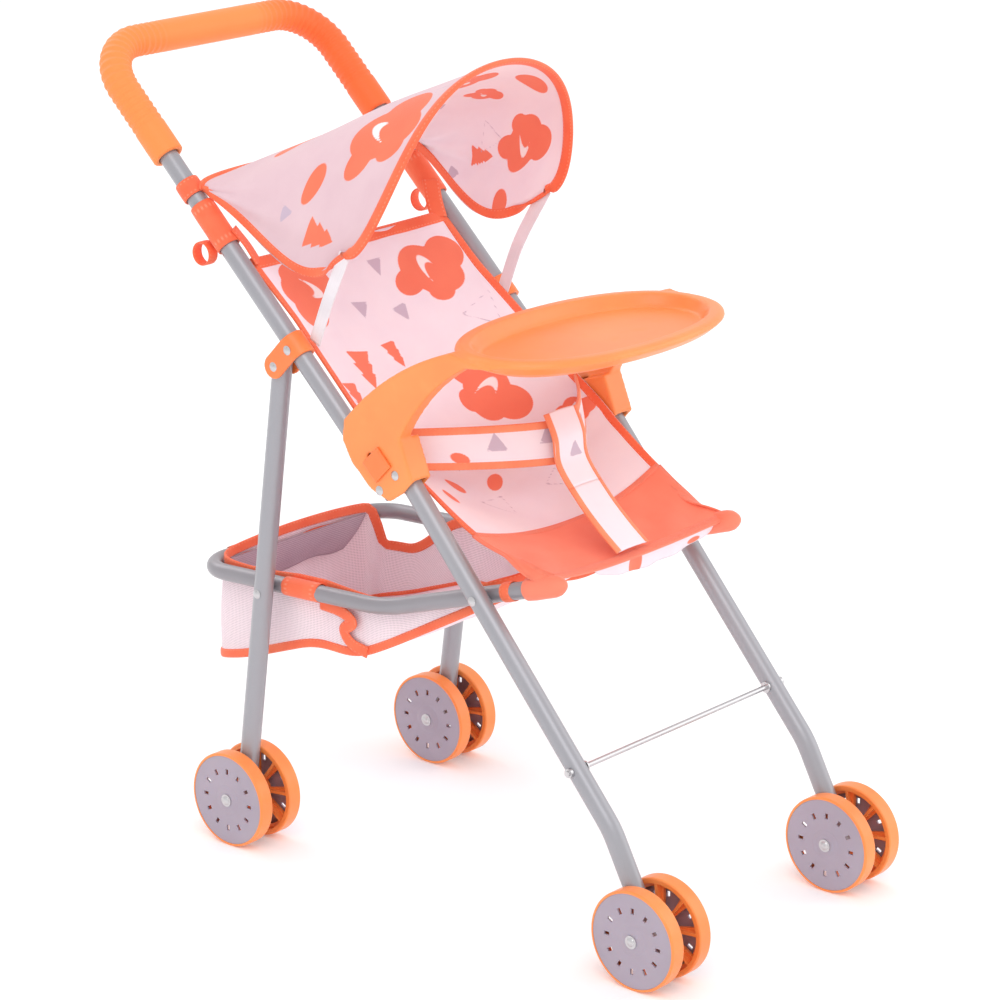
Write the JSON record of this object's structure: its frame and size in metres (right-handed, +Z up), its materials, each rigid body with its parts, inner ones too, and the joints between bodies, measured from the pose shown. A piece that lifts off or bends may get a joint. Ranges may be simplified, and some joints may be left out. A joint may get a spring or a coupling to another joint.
{
  "type": "doll stroller",
  "caption": "Folding doll stroller with a cloth sling seat, hood, basket, moulded tray, push handle and paired wheels.",
  "frame": {"origin": "on the floor under the middle of the overall box", "axes": "+Z up, front towards -Y, +X to the right-hand side as seen from behind the handle"},
  "size_m": [0.2598, 0.5534, 0.5738],
  "materials": {
    "tube_grey": "satin pale grey lacquer",
    "rail_grey": "satin pale grey lacquer",
    "steel": "bright rivets and pins",
    "grip_orange": "soft matt foam-rubber sleeve",
    "tray_orange": "smooth moulded plastic",
    "bracket_orange": "smooth moulded plastic",
    "wheel_orange": "moulded plastic",
    "disc_grey": "moulded plastic, fine texture",
    "print_cloth": "printed woven polyester",
    "coral_cloth": "plain woven polyester",
    "basket_mesh": "printed cloth with open mesh",
    "binding": "woven binding tape",
    "ribbon": "satin tape"
  },
  "bodies": {
    "rear_frame": {"rear_leg_left": "tube_grey", "rear_leg_right": "tube_grey", "rear_axles": "steel", "rear_washers": "steel", "rear_rail_rivets": "steel"},
    "handle_frame": {"push_handle": "tube_grey", "handle_grip": "grip_orange", "upper_bracket_left": "bracket_orange", "upper_bracket_right": "bracket_orange", "clamp_rivets": "steel", "rear_leg_pivots": "steel", "seat_back": "print_cloth", "waist_strap": "print_cloth", "seat_wraps": "binding", "pull_loops": "binding", "canopy_ties": "ribbon"},
    "front_frame": {"front_leg_left": "tube_grey", "front_leg_right": "tube_grey", "cross_rod": "steel", "tray": "tray_orange", "tray_rivets": "steel", "handle_pivots": "steel", "front_axles": "steel", "front_washers": "steel", "seat_base": "coral_cloth", "seat_fold": "print_cloth", "crotch_strap": "print_cloth", "rail_pivots": "steel"},
    "basket_frame": {"basket_rail": "rail_grey", "basket": "basket_mesh", "basket_straps": "binding", "corner_pockets": "binding"},
    "canopy": {"canopy_cover": "print_cloth", "canopy_bow": "steel"},
    "catch_left": {"fold_catch_left": "bracket_orange"},
    "catch_right": {"fold_catch_right": "bracket_orange"},
    "wheel_front_left_inner": {"wheel_front_left_inner": "wheel_orange", "disc_front_left_inner": "disc_grey"},
    "wheel_front_left_outer": {"wheel_front_left_outer": "wheel_orange", "disc_front_left_outer": "disc_grey"},
    "wheel_front_right_inner": {"wheel_front_right_inner": "wheel_orange", "disc_front_right_inner": "disc_grey"},
    "wheel_front_right_outer": {"wheel_front_right_outer": "wheel_orange", "disc_front_right_outer": "disc_grey"},
    "wheel_rear_left_inner": {"wheel_rear_left_inner": "wheel_orange", "disc_rear_left_inner": "disc_grey"},
    "wheel_rear_left_outer": {"wheel_rear_left_outer": "wheel_orange", "disc_rear_left_outer": "disc_grey"},
    "wheel_rear_right_inner": {"wheel_rear_right_inner": "wheel_orange", "disc_rear_right_inner": "disc_grey"},
    "wheel_rear_right_outer": {"wheel_rear_right_outer": "wheel_orange", "disc_rear_right_outer": "disc_grey"}
  },
  "joints": [
    {"name": "frame_fold", "type": "hinge", "parent": "rear_frame", "child": "handle_frame", "pos_m": [0, 0.08765, 0.36404], "axis": [-1, 0, 0], "range_deg": [0, 105]},
    {"name": "handle_fold", "type": "hinge", "parent": "handle_frame", "child": "front_frame", "pos_m": [0, -0.0115, 0.2954], "axis": [1, 0, 0], "range_deg": [0, 142.96], "deforming": ["seat_fold", "waist_strap", "crotch_strap"]},
    {"name": "rail_fold", "type": "hinge", "parent": "front_frame", "child": "basket_frame", "pos_m": [0, -0.0914, 0.2333], "axis": [-1, 0, 0], "range_deg": [0, 91.2]},
    {"name": "canopy_drop", "type": "hinge", "parent": "handle_frame", "child": "canopy", "pos_m": [0, 0.1626, 0.4774], "axis": [1, 0, 0], "range_deg": [0, 20], "deforming": ["canopy_ties"]},
    {"name": "catch_slide_left", "type": "slide", "parent": "front_frame", "child": "catch_left", "axis": [0, 0.7193, 0.6947], "range_m": [0, 0.008]},
    {"name": "catch_slide_right", "type": "slide", "parent": "front_frame", "child": "catch_right", "axis": [0, 0.7193, 0.6947], "range_m": [0, 0.008]},
    {"name": "spin_front_left_inner", "type": "hinge", "parent": "front_frame", "child": "wheel_front_left_inner", "pos_m": [-0.107, -0.242, 0.035], "axis": [1, 0, 0], "continuous": true},
    {"name": "spin_front_left_outer", "type": "hinge", "parent": "front_frame", "child": "wheel_front_left_outer", "pos_m": [-0.107, -0.242, 0.035], "axis": [1, 0, 0], "continuous": true},
    {"name": "spin_front_right_inner", "type": "hinge", "parent": "front_frame", "child": "wheel_front_right_inner", "pos_m": [0.107, -0.242, 0.035], "axis": [1, 0, 0], "continuous": true},
    {"name": "spin_front_right_outer", "type": "hinge", "parent": "front_frame", "child": "wheel_front_right_outer", "pos_m": [0.107, -0.242, 0.035], "axis": [1, 0, 0], "continuous": true},
    {"name": "spin_rear_left_inner", "type": "hinge", "parent": "rear_frame", "child": "wheel_rear_left_inner", "pos_m": [-0.107, 0.133, 0.035], "axis": [1, 0, 0], "continuous": true},
    {"name": "spin_rear_left_outer", "type": "hinge", "parent": "rear_frame", "child": "wheel_rear_left_outer", "pos_m": [-0.107, 0.133, 0.035], "axis": [1, 0, 0], "continuous": true},
    {"name": "spin_rear_right_inner", "type": "hinge", "parent": "rear_frame", "child": "wheel_rear_right_inner", "pos_m": [0.107, 0.133, 0.035], "axis": [1, 0, 0], "continuous": true},
    {"name": "spin_rear_right_outer", "type": "hinge", "parent": "rear_frame", "child": "wheel_rear_right_outer", "pos_m": [0.107, 0.133, 0.035], "axis": [1, 0, 0], "continuous": true}
  ],
  "couplings": [
    {"joint": "handle_fold", "follows": "frame_fold", "ratio": 1.3613},
    {"joint": "rail_fold", "follows": "frame_fold", "ratio": 0.86838}
  ]
}
